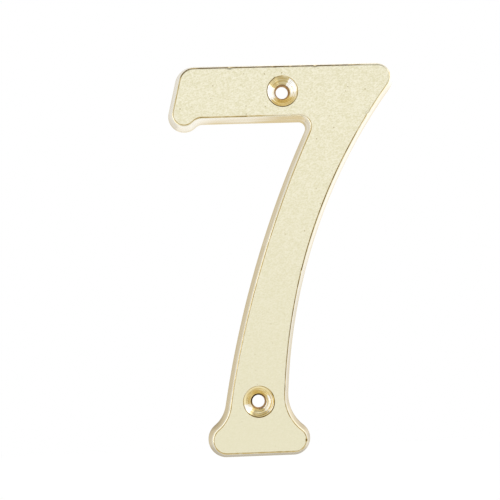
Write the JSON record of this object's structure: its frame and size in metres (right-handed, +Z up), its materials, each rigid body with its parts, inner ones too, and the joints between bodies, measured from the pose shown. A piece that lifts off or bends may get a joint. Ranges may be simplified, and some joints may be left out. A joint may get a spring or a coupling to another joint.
{
  "type": "door numeral",
  "caption": "Cast brass door numeral seven with leaning side walls, a rounded face edge, a flared foot, a flat back and countersunk screw holes through its face.",
  "frame": {"origin": "on the flat back, midway between the centres of the screw holes", "axes": "+X to the reader's right, +Y from the face through the back into the door, +Z up"},
  "size_m": [0.0591, 0.0045, 0.1016],
  "materials": {
    "brass": "cast, with a satin linished face, a polished edge and turned countersinks"
  },
  "bodies": {
    "root": {"numeral_seven": "brass"}
  },
  "joints": []
}
